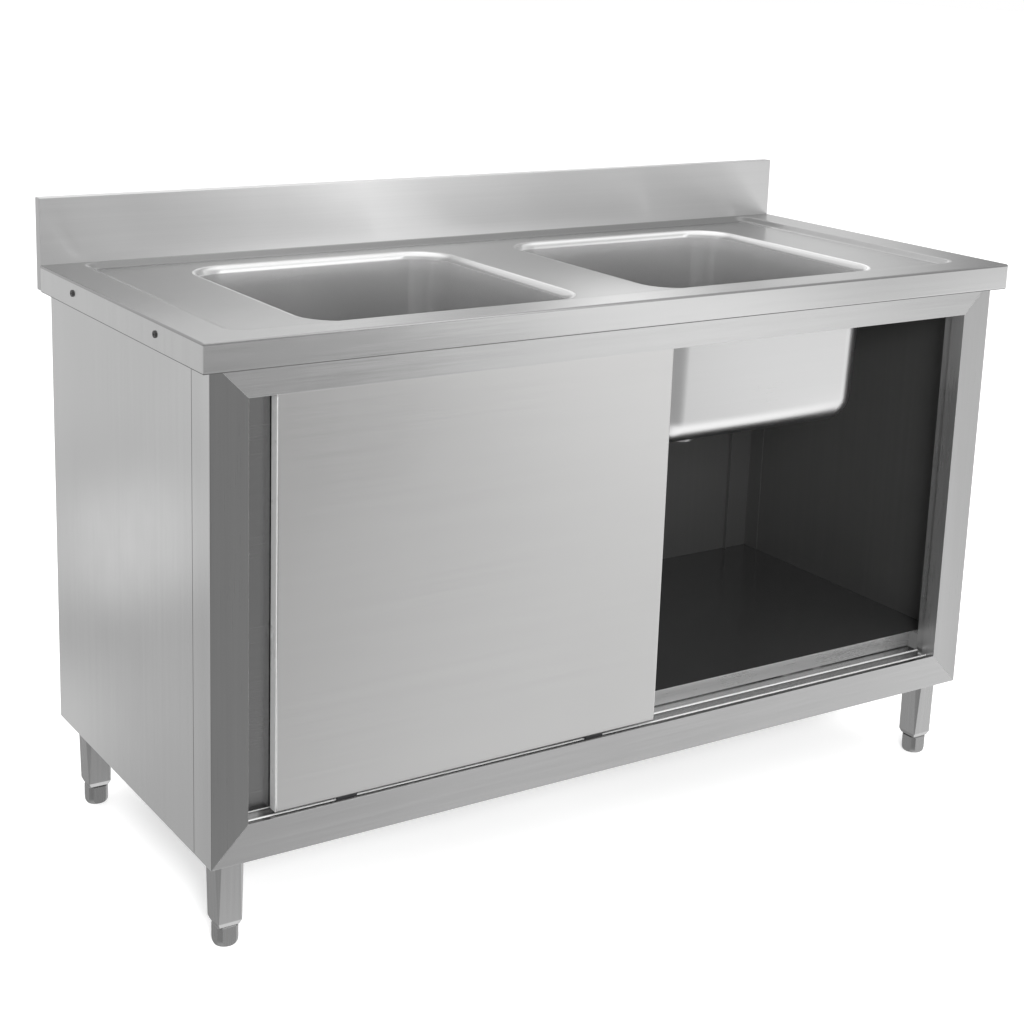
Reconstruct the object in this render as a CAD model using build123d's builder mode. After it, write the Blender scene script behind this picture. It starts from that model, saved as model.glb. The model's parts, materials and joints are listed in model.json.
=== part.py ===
from build123d import *
import math
import os

# Two-bowl stainless sink unit with a sliding-door cupboard.
# Millimetres, +Z up, +X to the right, front towards -Y.
# Origin: on the floor, under the middle of the worktop.

# ---------------------------------------------------------------- worktop
worktop_width = 1400.0
worktop_depth = 600.0
worktop_height = 850.0  # floor to the flat rim of the worktop
worktop_sheet = 1.2
fascia_height = 40.0
fascia_return = 13.0  # fold under the fascia, towards the cabinet
worktop_corner = 2.0  # small outer rounding of the folded edges
upstand_height = 100.0
upstand_thickness = 17.0
recess_depth = 7.0  # the deck is pressed this far below the rim
recess_slope = 20.0  # plan width of the sloped step
recess_corner = 30.0
recess_rim_side = 57.0
recess_rim_front = 50.0
recess_rim_back = 2.0
stiffener_height = 18.0
stiffener_crown = 50.0
stiffener_brim = 15.0
stiffener_side_inset = 104.0  # middle of the outer hat channels from the side of the cabinet

# ---------------------------------------------------------------- bowls
bowl_opening = 424.0  # inside the top of the straight walls, both ways
bowl_rim_roll = 12.0  # radius that rolls the deck into the walls
bowl_gap = 124.0  # deck between the two rims
bowl_centre_y = -3.5
bowl_depth = 250.0
bowl_taper = 2.0
bowl_corner = 56.0
bowl_floor_radius = 44.0
bowl_sheet = 1.0

# ---------------------------------------------------------------- wastes
waste_thread_radius = 23.8  # 1 1/2 inch pipe thread, modelled plain
waste_bore_radius = 20.0
waste_flange_radius = 38.0
waste_flange_thickness = 2.0
waste_length = 56.0
waste_hole_clearance = 0.7
waste_dish_depth = 3.0
waste_dish_slope = 5.0
waste_seal_radius = 34.0
waste_seal_thickness = 2.0
waste_nut_across = 62.0
waste_nut_height = 12.0
waste_groove_width = 2.0  # thread relief under the nut
waste_groove_depth = 1.0
thread_clearance = 0.05
plug_height = 12.0
plug_seat_gap = 0.4
plug_seat_drop = 8.0  # depth of the conical seat in the flange
plug_seat_widening = 3.0
plug_knob_radius = 6.0
plug_knob_height = 12.0

# ---------------------------------------------------------------- cabinet
cabinet_side_inset = 16.0
cabinet_front_inset = 18.0
cabinet_back_inset = 15.0
leg_height = 134.0  # floor to the underside of the cabinet
frame_face = 54.0  # width of the mitred front frame
frame_sheet = 1.2
frame_lip = 6.0
post_side = 54.0  # how far the front posts wrap round the sides
jamb_front = 26.0  # first strip of the door jamb
jamb_step = 5.0
jamb_rear = 18.0  # second strip, set back by the step
rear_post_side = 54.0
rear_panel_setback = 17.0
rail_flange = 54.0
side_panel_rise = 15.0  # the side panels stand this far above the frame
side_seam = 1.2  # open seam between a front post and its side panel
panel_bottom_fold = 25.0
panel_edge_fold = 13.0
shelf_above_opening = 24.0
shelf_lip_gap = 1.8  # above the ledge of the bottom track
shelf_door_gap = 11.0  # between the rear door and the shelf
shelf_sheet = 1.2
shelf_lip_inset = 0.5
shelf_stiffener_height = 19.0
shelf_stiffener_inset = 284.0
corner_clearance = 0.5

# ---------------------------------------------------------------- doors
door_thickness = 18.0
door_sheet = 1.0
door_setback = 8.0  # front of the front door behind the frame's face
door_gap = 2.0  # between the two doors
door_overlap = 12.0
door_lift = 2.5  # door bottom above the lower edge of the opening
door_head = 19.2  # door top above the upper edge of the opening
door_edge_radius = 2.5
door_end_clearance = 1.0
door_rest_opening = 44.0  # gap left of the front door as it stands
rear_door_rest_gap = 2.0  # between the rear door and its left jamb as it stands
liner_fold = 8.0
liner_clearance = 0.15

# ---------------------------------------------------------------- door track
track_sheet = 1.2
track_web_gap = 0.2
track_flange = 12.6
track_top_flange = 18.0
track_height = 26.6
roller_radius = 11.0
roller_width = 7.0
roller_web_gap = 2.9
roller_edge = 1.0
roller_running_gap = 0.05
axle_radius = 2.5
axle_clearance = 0.08
axle_head_radius = 4.5
axle_head_thickness = 1.0
axle_washer_radius = 4.0
hanger_thickness = 1.5
hanger_width = 30.0
hanger_foot = 7.5
hanger_head_room = 8.0
hanger_inset = 90.0
rail_floor_drop = 9.2  # rail floor below the lower edge of the opening
ridge_width = 4.4
front_ridge_rise = 5.5
rear_ridge_rise = 7.5
ledge_rise = 6.0
ledge_under_shelf = 12.0  # reach of the ledge behind the front of the shelf
guide_length = 30.0
guide_width = 14.0
guide_side_clearance = 0.5
guide_floor_clearance = 1.0
guide_inset = 110.0

# ---------------------------------------------------------------- legs
leg_side_inset = 39.0  # middle of a leg from the side of the cabinet
leg_front_inset = 42.0
leg_rear_inset = 45.0
leg_top_size = 43.0
leg_bottom_size = 36.0
leg_top_chamfer = 7.0
leg_bottom_chamfer = 1.0
leg_crimp_height = 7.0
leg_crimp_inset = 3.0
leg_wall = 2.0
leg_cap = 8.0
leg_neck = 12.0
foot_height = 30.0  # floor to the lower end of the leg
foot_radius = 18.5
foot_across_flats = 31.0
foot_base_radius = 13.5
foot_base_rise = 9.0
stem_radius = 8.0
stem_length = 58.0
stem_clearance = 0.08
leg_plate_thickness = 3.0
leg_plate_edge_gap = 3.3  # from the outside of the cabinet
leg_plate_size_x = 44.0
leg_plate_size_y = 34.0
bolt_radius = 4.0
bolt_head_across = 13.0
bolt_head_height = 5.3
bolt_grip_in_leg = 7.0

# ---------------------------------------------------------------- worktop screws
screw_end_inset = 150.0  # from the front and back of the worktop
screw_below_rim = 18.0
screw_radius = 2.5
screw_length = 26.0
screw_head_radius = 5.0
screw_head_height = 2.2
screw_cross_width = 1.2
screw_cross_length = 5.0
screw_cross_depth = 1.2
rivet_nut_radius = 3.5
rivet_nut_length = 10.0
rivet_nut_flange_radius = 5.0
rivet_nut_flange_thickness = 0.8
hole_clearance = 0.25

# ---------------------------------------------------------------- derived places
half_width = worktop_width / 2
half_depth = worktop_depth / 2
deck_z = worktop_height - recess_depth
deck_under_z = deck_z - worktop_sheet
frame_top = deck_under_z - stiffener_height
frame_bottom = leg_height
opening_top = frame_top - frame_face
opening_bottom = frame_bottom + frame_face
cabinet_x = half_width - cabinet_side_inset
cabinet_front = -half_depth + cabinet_front_inset
cabinet_back = half_depth - cabinet_back_inset
opening_x = cabinet_x - frame_face
inner_x = cabinet_x - frame_sheet
bowl_rim = bowl_opening + 2 * bowl_rim_roll
bowl_centre_x = (bowl_gap + bowl_rim) / 2
front_door_y = cabinet_front + door_setback + door_thickness / 2
track_pitch = door_thickness + door_gap
rear_door_y = front_door_y + track_pitch
door_width = (2 * opening_x + door_overlap) / 2
door_bottom = opening_bottom + door_lift
door_top = opening_top + door_head
front_door_left = -opening_x + door_rest_opening
rear_door_left = -opening_x - jamb_step + rear_door_rest_gap
track_top = frame_top - frame_sheet
track_floor = track_top - track_height + track_sheet
roller_z = track_floor + roller_radius + roller_running_gap
rail_floor = opening_bottom - rail_floor_drop
ridge_base = rail_floor + track_sheet
ledge_z = ridge_base + ledge_rise
shelf_top = opening_bottom + shelf_above_opening
shelf_front = rear_door_y + door_thickness / 2 + shelf_door_gap
ledge_back = shelf_front + ledge_under_shelf
back_panel_y = cabinet_back - rear_panel_setback
screw_z = worktop_height - screw_below_rim
screw_place_y = half_depth - screw_end_inset
leg_x = cabinet_x - leg_side_inset
front_leg_y = cabinet_front + leg_front_inset
rear_leg_y = cabinet_back - leg_rear_inset
stiffener_side_place = cabinet_x - stiffener_side_inset
shelf_stiffener_place = cabinet_x - shelf_stiffener_inset

os.makedirs("parts", exist_ok=True)


def save(piece, name):
    piece.part.label = name
    export_step(piece.part, f"parts/{name}.step")
    print(f"{name}: {len(piece.part.solids())} solid(s)")


def slab(x_low, x_high, y_low, y_high, z_low, z_high, mode=Mode.ADD):
    """A plain block between two corners, added to or cut from the piece in hand."""
    centre = ((x_low + x_high) / 2, (y_low + y_high) / 2, (z_low + z_high) / 2)
    with Locations(centre):
        Box(x_high - x_low, y_high - y_low, z_high - z_low, mode=mode)


# ================================================================ worktop
def recess_outline(grow, z):
    """The rounded outline of the pressed recess at one height."""
    x_edge = half_width - recess_rim_side + grow
    y_low = -half_depth + recess_rim_front - grow
    y_high = half_depth - upstand_thickness - recess_rim_back + grow
    with BuildSketch(Plane.XY.offset(z)) as outline:
        with Locations((0, (y_low + y_high) / 2)):
            RectangleRounded(2 * x_edge, y_high - y_low, recess_corner + grow)
    return outline.sketch


with BuildPart() as recess_void:
    loft([recess_outline(0, worktop_height), recess_outline(-recess_slope, deck_z)])
with BuildPart() as recess_shadow:
    # the same step one sheet lower: the underside of the pressed deck
    loft([recess_outline(worktop_sheet / 2, worktop_height - worktop_sheet),
          recess_outline(worktop_sheet / 2 - recess_slope, deck_under_z)])

head_z = worktop_height + upstand_height
with BuildPart() as worktop_hollow:
    # hollow under the deck and inside the upstand
    slab(-half_width + worktop_sheet, half_width - worktop_sheet,
         -half_depth + worktop_sheet, half_depth - worktop_sheet,
         worktop_height - fascia_height + worktop_sheet, worktop_height - worktop_sheet)
    slab(-half_width + worktop_sheet, half_width - worktop_sheet,
         half_depth - upstand_thickness + worktop_sheet, half_depth - worktop_sheet,
         worktop_height - fascia_height + worktop_sheet, head_z - worktop_sheet)
    slab(-half_width + fascia_return, half_width - fascia_return,
         -half_depth + fascia_return, half_depth - fascia_return,
         worktop_height - fascia_height, worktop_height - worktop_sheet)
    add(recess_shadow.part, mode=Mode.SUBTRACT)

with BuildPart() as worktop:
    slab(-half_width, half_width, -half_depth, half_depth,
         worktop_height - fascia_height, worktop_height)
    slab(-half_width, half_width, half_depth - upstand_thickness, half_depth,
         worktop_height, worktop_height + upstand_height)
    upright = worktop.edges().filter_by(Axis.Z)
    front_uprights = upright.filter_by(lambda e: e.center().Y < 0)
    fillet(front_uprights, worktop_corner)
    rim_edges = worktop.edges().filter_by(lambda e: abs(e.center().Z - worktop_height) < 0.01)
    rim_edges = rim_edges.filter_by(lambda e: e.center().Y < half_depth - upstand_thickness - 1)
    fillet(rim_edges, worktop_corner)
    head_edges = worktop.edges().filter_by(Axis.X)
    head_edges = head_edges.filter_by(lambda e: abs(e.center().Z - head_z) < 0.01)
    fillet(head_edges, worktop_corner)
    add(recess_void.part, mode=Mode.SUBTRACT)
    add(worktop_hollow.part, mode=Mode.SUBTRACT)
    # one opening for each bowl, the size of its rolled rim
    with BuildSketch(Plane.XY.offset(deck_z)):
        with Locations((-bowl_centre_x, bowl_centre_y), (bowl_centre_x, bowl_centre_y)):
            RectangleRounded(bowl_rim, bowl_rim, bowl_corner + bowl_rim_roll)
    extrude(amount=-2 * worktop_sheet, mode=Mode.SUBTRACT)
    # fascia screw holes, two each side
    for side in (-1, 1):
        with Locations(Plane((side * half_width, 0, screw_z), x_dir=(0, 1, 0), z_dir=(side, 0, 0))):
            with Locations((-screw_place_y, 0), (screw_place_y, 0)):
                Cylinder(screw_radius + hole_clearance, 4 * worktop_sheet, mode=Mode.SUBTRACT)
save(worktop, "worktop")


def hat_profile(middle, top_z, height):
    """Section of a folded hat channel, crown up, drawn on the XZ plane."""
    crown = stiffener_crown / 2
    brim = crown + stiffener_brim
    low = top_z - height
    with Locations((middle, top_z - worktop_sheet / 2)):
        Rectangle(2 * crown, worktop_sheet)
    for side in (-1, 1):
        with Locations((middle + side * (crown - worktop_sheet / 2), (top_z + low) / 2)):
            Rectangle(worktop_sheet, height)
        with Locations((middle + side * (crown + brim - worktop_sheet) / 2, low + worktop_sheet / 2)):
            Rectangle(brim - crown + worktop_sheet, worktop_sheet)


with BuildPart() as worktop_stiffeners:
    for middle in (-stiffener_side_place, 0, stiffener_side_place):
        with BuildSketch(Plane.XZ.offset(-(cabinet_front + frame_sheet))):
            hat_profile(middle, deck_under_z, stiffener_height)
        extrude(amount=-(cabinet_back - cabinet_front - 2 * frame_sheet))
save(worktop_stiffeners, "worktop_stiffeners")


# ================================================================ bowls
def bowl_pocket(grow):
    """The space inside a bowl, with its flared rim, grown outwards by one sheet or none."""
    top = deck_z - grow
    block = bowl_rim + 4 * bowl_rim_roll
    opening = bowl_opening + 2 * grow
    with BuildPart() as around:
        with BuildSketch(Plane.XY.offset(top)):
            Rectangle(block, block)
        extrude(amount=-(bowl_depth + 2 * bowl_rim_roll))
        with BuildSketch(Plane.XY.offset(top)):
            RectangleRounded(opening, opening, bowl_corner + grow)
        extrude(amount=-bowl_depth, taper=bowl_taper, mode=Mode.SUBTRACT)
        rim_edges = around.edges().filter_by(lambda e: abs(e.center().Z - top) < 0.01)
        rim_edges = rim_edges.filter_by(lambda e: max(abs(e.center().X), abs(e.center().Y)) < opening / 2 + 1)
        fillet(rim_edges, bowl_rim_roll - grow)
        floor_edges = around.edges().filter_by(lambda e: abs(e.center().Z - (top - bowl_depth)) < 0.01)
        fillet(floor_edges, bowl_floor_radius + grow)
    with BuildPart() as pocket:
        with BuildSketch(Plane.XY.offset(top)):
            RectangleRounded(bowl_rim, bowl_rim, bowl_corner + bowl_rim_roll)
        extrude(amount=-(bowl_depth + bowl_rim_roll))
        add(around.part, mode=Mode.SUBTRACT)
        # shallow dish round the waste
        dish_low = waste_flange_radius + 1 + grow
        with BuildSketch(Plane.XZ):
            with BuildLine():
                Polyline((0, top - bowl_depth + 1), (dish_low + waste_dish_slope, top - bowl_depth + 1),
                         (dish_low + waste_dish_slope, top - bowl_depth),
                         (dish_low, top - bowl_depth - waste_dish_depth),
                         (0, top - bowl_depth - waste_dish_depth), close=True)
            make_face()
        revolve(axis=Axis.Z)
    return pocket.part


inner_pocket = bowl_pocket(0.0)
outer_pocket = bowl_pocket(bowl_sheet)
bowl_floor_z = deck_z - bowl_depth
dish_z = bowl_floor_z - waste_dish_depth

with BuildPart() as bowl_shape:
    add(outer_pocket)
    with BuildSketch(Plane.XY.offset(deck_z)):
        RectangleRounded(bowl_rim, bowl_rim, bowl_corner + bowl_rim_roll)
    extrude(amount=-bowl_sheet)
    add(inner_pocket, mode=Mode.SUBTRACT)
    with Locations((0, 0, dish_z)):
        Cylinder(waste_thread_radius + waste_hole_clearance, 6 * bowl_sheet, mode=Mode.SUBTRACT)

# ---------------------------------------------------------------- waste fitting, drawn under the origin
flange_top = dish_z + waste_seal_thickness + waste_flange_thickness
seat_radius = waste_bore_radius + plug_seat_widening
shank_bottom = flange_top - waste_length
seal_under_z = dish_z - bowl_sheet
nut_top = seal_under_z - waste_seal_thickness
nut_bottom = nut_top - waste_nut_height
groove_bottom = nut_bottom - waste_groove_width
groove_radius = waste_thread_radius - waste_groove_depth

with BuildPart() as waste_shape:
    with BuildSketch(Plane.XZ):
        with BuildLine():
            Polyline((seat_radius, flange_top), (waste_flange_radius, flange_top),
                     (waste_flange_radius, flange_top - waste_flange_thickness),
                     (waste_thread_radius, flange_top - waste_flange_thickness),
                     (waste_thread_radius, nut_bottom), (groove_radius, nut_bottom),
                     (groove_radius, groove_bottom), (waste_thread_radius, groove_bottom),
                     (waste_thread_radius, shank_bottom), (waste_bore_radius, shank_bottom),
                     (waste_bore_radius, flange_top - plug_seat_drop), close=True)
        make_face()
    revolve(axis=Axis.Z)
    # strainer cross under the plug
    bar = 2.4
    for size in ((2 * waste_bore_radius + 1, bar), (bar, 2 * waste_bore_radius + 1)):
        with BuildSketch(Plane.XY.offset(flange_top - plug_height - plug_seat_drop)):
            Rectangle(*size)
        extrude(amount=-bar)

with BuildPart() as upper_seal_shape:
    with BuildSketch(Plane.XY.offset(dish_z)):
        Circle(waste_seal_radius)
        Circle(waste_thread_radius + thread_clearance, mode=Mode.SUBTRACT)
    extrude(amount=waste_seal_thickness)

with BuildPart() as lower_seal_shape:
    with BuildSketch(Plane.XY.offset(seal_under_z)):
        Circle(waste_seal_radius)
        Circle(waste_thread_radius + thread_clearance, mode=Mode.SUBTRACT)
    extrude(amount=-waste_seal_thickness)

with BuildPart() as waste_nut_shape:
    with BuildSketch(Plane.XY.offset(nut_top)):
        RegularPolygon(waste_nut_across / 2, 6, major_radius=False)
        Circle(waste_thread_radius + thread_clearance, mode=Mode.SUBTRACT)
    extrude(amount=-waste_nut_height)
    with BuildSketch(Plane.XY.offset(nut_top)):
        Circle(waste_seal_radius)
        Circle(waste_thread_radius + thread_clearance, mode=Mode.SUBTRACT)
    extrude(amount=-waste_nut_height / 4)

with BuildPart() as plug_shape:
    with BuildSketch(Plane.XZ):
        with BuildLine():
            lip_z = flange_top + plug_seat_gap
            Polyline((0, lip_z - plug_height), (waste_bore_radius - 2.5, lip_z - plug_height),
                     (waste_bore_radius - plug_seat_gap - 0.6, lip_z - plug_seat_drop),
                     (seat_radius - plug_seat_gap, lip_z),
                     (seat_radius + 2, lip_z), (seat_radius + 2, lip_z + 2),
                     (plug_knob_radius / 2, lip_z + 4),
                     (plug_knob_radius / 2, lip_z + plug_knob_height - 4),
                     (plug_knob_radius, lip_z + plug_knob_height - 2),
                     (plug_knob_radius, lip_z + plug_knob_height),
                     (0, lip_z + plug_knob_height), close=True)
        make_face()
    revolve(axis=Axis.Z)

for side_name, side in (("left", -1), ("right", 1)):
    here = Location((side * bowl_centre_x, bowl_centre_y, 0))
    for shape, name in ((bowl_shape, "bowl"), (waste_shape, "waste_fitting"),
                        (upper_seal_shape, "upper_waste_seal"),
                        (lower_seal_shape, "lower_waste_seal"),
                        (waste_nut_shape, "waste_nut"), (plug_shape, "plug")):
        with BuildPart() as placed:
            add(shape.part.moved(here))
        save(placed, f"{side_name}_{name}")


# ================================================================ front frame
def mirrored(build):
    """The same piece on the other side of the middle plane."""
    with BuildPart() as other:
        add(build.part)
        mirror(about=Plane.YZ, mode=Mode.REPLACE)
    return other


with BuildPart() as front_left_post:
    jamb_back = cabinet_front + jamb_front + jamb_rear
    with BuildSketch(Plane.XY.offset(frame_bottom)):
        with BuildLine():
            Polyline((-cabinet_x, cabinet_front + post_side), (-cabinet_x, cabinet_front),
                     (-opening_x, cabinet_front), (-opening_x, cabinet_front + jamb_front),
                     (-opening_x - jamb_step, cabinet_front + jamb_front),
                     (-opening_x - jamb_step, jamb_back),
                     (-opening_x - jamb_step - frame_sheet, jamb_back),
                     (-opening_x - jamb_step - frame_sheet, cabinet_front + jamb_front - frame_sheet),
                     (-opening_x - frame_sheet, cabinet_front + jamb_front - frame_sheet),
                     (-opening_x - frame_sheet, cabinet_front + frame_sheet),
                     (-inner_x, cabinet_front + frame_sheet),
                     (-inner_x, cabinet_front + post_side), close=True)
        make_face()
    extrude(amount=frame_top - frame_bottom)
    outer_corner = front_left_post.edges().filter_by(Axis.Z).group_by(Axis.X)[0].sort_by(Axis.Y)[0]
    fillet(outer_corner, frame_sheet)
    # mitres on the face, and room for the flanges of the two rails
    with BuildSketch(Plane.XZ.offset(-cabinet_front - frame_sheet)):
        with BuildLine():
            Polyline((-cabinet_x, frame_bottom), (-opening_x + 1, frame_bottom),
                     (-opening_x + 1, opening_bottom + 1), close=True)
        make_face()
        with BuildLine():
            Polyline((-cabinet_x, frame_top), (-opening_x + 1, frame_top),
                     (-opening_x + 1, opening_top - 1), close=True)
        make_face()
    extrude(amount=2 * frame_sheet, mode=Mode.SUBTRACT)
    for low, high in ((frame_bottom, frame_bottom + frame_sheet), (frame_top - frame_sheet, frame_top)):
        slab(-inner_x, 0, cabinet_front + frame_sheet, 0, low, high, mode=Mode.SUBTRACT)
save(front_left_post, "front_left_post")
save(mirrored(front_left_post), "front_right_post")


def rail_face(outer_edge, inner_edge):
    """The mitred face of a rail: full length at its outer edge, the opening at its inner edge."""
    with BuildSketch(Plane.XZ.offset(-cabinet_front)) as outline:
        with BuildLine():
            Polyline((-cabinet_x, outer_edge), (cabinet_x, outer_edge),
                     (opening_x, inner_edge), (-opening_x, inner_edge), close=True)
        make_face()
    return outline.sketch


with BuildPart() as front_top_rail:
    extrude(rail_face(frame_top, opening_top), amount=-frame_sheet)
    slab(-opening_x, opening_x, cabinet_front, cabinet_front + frame_lip,
         opening_top, opening_top + frame_sheet)
    slab(-inner_x, inner_x, cabinet_front + frame_sheet, cabinet_front + rail_flange,
         frame_top - frame_sheet, frame_top)
save(front_top_rail, "front_top_rail")

with BuildPart() as front_bottom_rail:
    extrude(rail_face(frame_bottom, opening_bottom), amount=-frame_sheet)
    lip_back = cabinet_front + frame_lip
    slab(-opening_x, opening_x, cabinet_front, lip_back,
         opening_bottom - frame_sheet, opening_bottom)
    slab(-opening_x, opening_x, lip_back - frame_sheet, lip_back, rail_floor - frame_sheet, opening_bottom)
    slab(-opening_x, opening_x, lip_back - frame_sheet, ledge_back,
         rail_floor - frame_sheet, rail_floor)
    slab(-inner_x, inner_x, cabinet_front + frame_sheet, cabinet_front + rail_flange,
         frame_bottom, frame_bottom + frame_sheet)
    for side in (-1, 1):
        with Locations((side * leg_x, front_leg_y, frame_bottom)):
            Cylinder(bolt_radius + hole_clearance, 4 * frame_sheet, mode=Mode.SUBTRACT)
save(front_bottom_rail, "front_bottom_rail")

# ================================================================ rear frame
with BuildPart() as rear_left_post:
    slab(-inner_x, -inner_x + frame_sheet, cabinet_back - rear_post_side, back_panel_y,
         frame_bottom + frame_sheet, frame_top - frame_sheet)
    slab(-inner_x, -opening_x, back_panel_y - frame_sheet, back_panel_y,
         frame_bottom + frame_sheet, frame_top - frame_sheet)
    # stiffening return along the free edge
    slab(-opening_x - frame_sheet, -opening_x, back_panel_y - 8, back_panel_y,
         frame_bottom + frame_sheet, frame_top - frame_sheet)
save(rear_left_post, "rear_left_post")
save(mirrored(rear_left_post), "rear_right_post")

flange_front = cabinet_back - rail_flange
with BuildPart() as rear_bottom_rail:
    slab(-inner_x, inner_x, flange_front, cabinet_back, frame_bottom, frame_bottom + frame_sheet)
    slab(-inner_x, inner_x, cabinet_back - frame_sheet, cabinet_back, frame_bottom, opening_bottom)
    slab(-inner_x, inner_x, back_panel_y, cabinet_back, opening_bottom - frame_sheet, opening_bottom)
    for side in (-1, 1):
        with Locations((side * leg_x, rear_leg_y, frame_bottom)):
            Cylinder(bolt_radius + hole_clearance, 4 * frame_sheet, mode=Mode.SUBTRACT)
save(rear_bottom_rail, "rear_bottom_rail")

with BuildPart() as rear_top_rail:
    slab(-inner_x, inner_x, flange_front, cabinet_back, frame_top - frame_sheet, frame_top)
    slab(-inner_x, inner_x, cabinet_back - frame_sheet, cabinet_back, opening_top, frame_top)
    slab(-inner_x, inner_x, back_panel_y, cabinet_back, opening_top, opening_top + frame_sheet)
save(rear_top_rail, "rear_top_rail")

with BuildPart() as back_panel:
    slab(-inner_x, inner_x, back_panel_y, back_panel_y + frame_sheet, opening_bottom, opening_top)
save(back_panel, "back_panel")

# ================================================================ side panels
panel_top = frame_top + side_panel_rise
panel_front = cabinet_front + post_side + side_seam
with BuildPart() as left_side_panel:
    slab(-cabinet_x, -inner_x, panel_front, cabinet_back, frame_bottom, panel_top)
    slab(-inner_x, -inner_x + panel_edge_fold, panel_front, panel_front + frame_sheet,
         frame_bottom + frame_sheet, panel_top)
    slab(-inner_x, -inner_x + panel_edge_fold, panel_front, cabinet_back,
         panel_top - frame_sheet, panel_top)
    slab(-inner_x, -inner_x + panel_bottom_fold, panel_front + 2 * frame_sheet, flange_front,
         frame_bottom, frame_bottom + frame_sheet)
    for place in (-screw_place_y, screw_place_y):
        with Locations(Location((-cabinet_x, place, screw_z), (0, 90, 0))):
            Cylinder(rivet_nut_radius, 4 * frame_sheet, mode=Mode.SUBTRACT)
save(left_side_panel, "left_side_panel")
save(mirrored(left_side_panel), "right_side_panel")

# ================================================================ shelf
shelf_low = ledge_z + shelf_lip_gap
with BuildPart() as bottom_shelf:
    slab(-inner_x, inner_x, shelf_front, back_panel_y, shelf_top - shelf_sheet, shelf_top)
    slab(-opening_x + shelf_lip_inset, opening_x - shelf_lip_inset, shelf_front, shelf_front + shelf_sheet,
         shelf_low, shelf_top)
    for side in (-1, 1):
        slab(min(side * inner_x, side * (inner_x - shelf_sheet)),
             max(side * inner_x, side * (inner_x - shelf_sheet)),
             panel_front + 2 * frame_sheet + corner_clearance, cabinet_back - rear_post_side - corner_clearance,
             shelf_low, shelf_top)
    slab(-opening_x + 1, opening_x - 1, back_panel_y - shelf_sheet, back_panel_y, shelf_low, shelf_top)
    # notches round the rear posts
    for side in (-1, 1):
        near = side * (inner_x - frame_sheet - corner_clearance)
        far = side * (inner_x + 1)
        slab(min(near, far), max(near, far), cabinet_back - rear_post_side - corner_clearance,
             back_panel_y + 1, shelf_low - 1, shelf_top + 1, mode=Mode.SUBTRACT)
        near = side * (opening_x - corner_clearance)
        slab(min(near, far), max(near, far), back_panel_y - frame_sheet - corner_clearance,
             back_panel_y + 1, shelf_low - 1, shelf_top + 1, mode=Mode.SUBTRACT)
        near = side * (opening_x - corner_clearance)
        far = side * (opening_x + frame_sheet + corner_clearance)
        slab(min(near, far), max(near, far), back_panel_y - 8 - corner_clearance,
             back_panel_y + 1, shelf_low - 1, shelf_top + 1, mode=Mode.SUBTRACT)
save(bottom_shelf, "bottom_shelf")

with BuildPart() as shelf_stiffeners:
    for middle in (-shelf_stiffener_place, 0, shelf_stiffener_place):
        with BuildSketch(Plane.XZ.offset(-(shelf_front + shelf_sheet + corner_clearance))):
            hat_profile(middle, shelf_top - shelf_sheet, shelf_stiffener_height)
        extrude(amount=-(back_panel_y - shelf_front - 2 * shelf_sheet - 2 * corner_clearance))
save(shelf_stiffeners, "shelf_stiffeners")

# ================================================================ door tracks
front_web_y = cabinet_front + frame_sheet + track_web_gap
with BuildPart() as top_track:
    # two Z-shaped rails, one behind the other: each carries the rollers of one door
    for web_y in (front_web_y, front_web_y + track_pitch):
        slab(-opening_x, opening_x, web_y, web_y + track_sheet, track_top - track_height, track_top)
        slab(-opening_x, opening_x, web_y, web_y + track_top_flange, track_top - track_sheet, track_top)
        slab(-opening_x, opening_x, web_y, web_y + track_flange,
             track_top - track_height, track_top - track_height + track_sheet)
save(top_track, "top_track")

with BuildPart() as bottom_track:
    floor_front = cabinet_front + frame_lip + corner_clearance
    ledge_front = rear_door_y + ridge_width / 2
    with BuildSketch(Plane.YZ.offset(-(opening_x - corner_clearance))):
        with Locations(((floor_front + ledge_front) / 2, rail_floor + track_sheet / 2)):
            Rectangle(ledge_front - floor_front, track_sheet)
        with Locations(((ledge_front + ledge_back) / 2, ledge_z - track_sheet / 2)):
            Rectangle(ledge_back - ledge_front, track_sheet)
        with Locations((ledge_back - track_sheet / 2, (rail_floor + ledge_z) / 2)):
            Rectangle(track_sheet, ledge_z - rail_floor)
        for ridge_y, rise in ((front_door_y, front_ridge_rise), (rear_door_y, rear_ridge_rise)):
            shaft_top = ridge_base + rise - ridge_width / 2
            with Locations((ridge_y, (rail_floor + shaft_top) / 2)):
                Rectangle(ridge_width, shaft_top - rail_floor)
            with Locations((ridge_y, shaft_top)):
                Circle(ridge_width / 2)
    extrude(amount=2 * (opening_x - corner_clearance))
save(bottom_track, "bottom_track")


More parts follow.
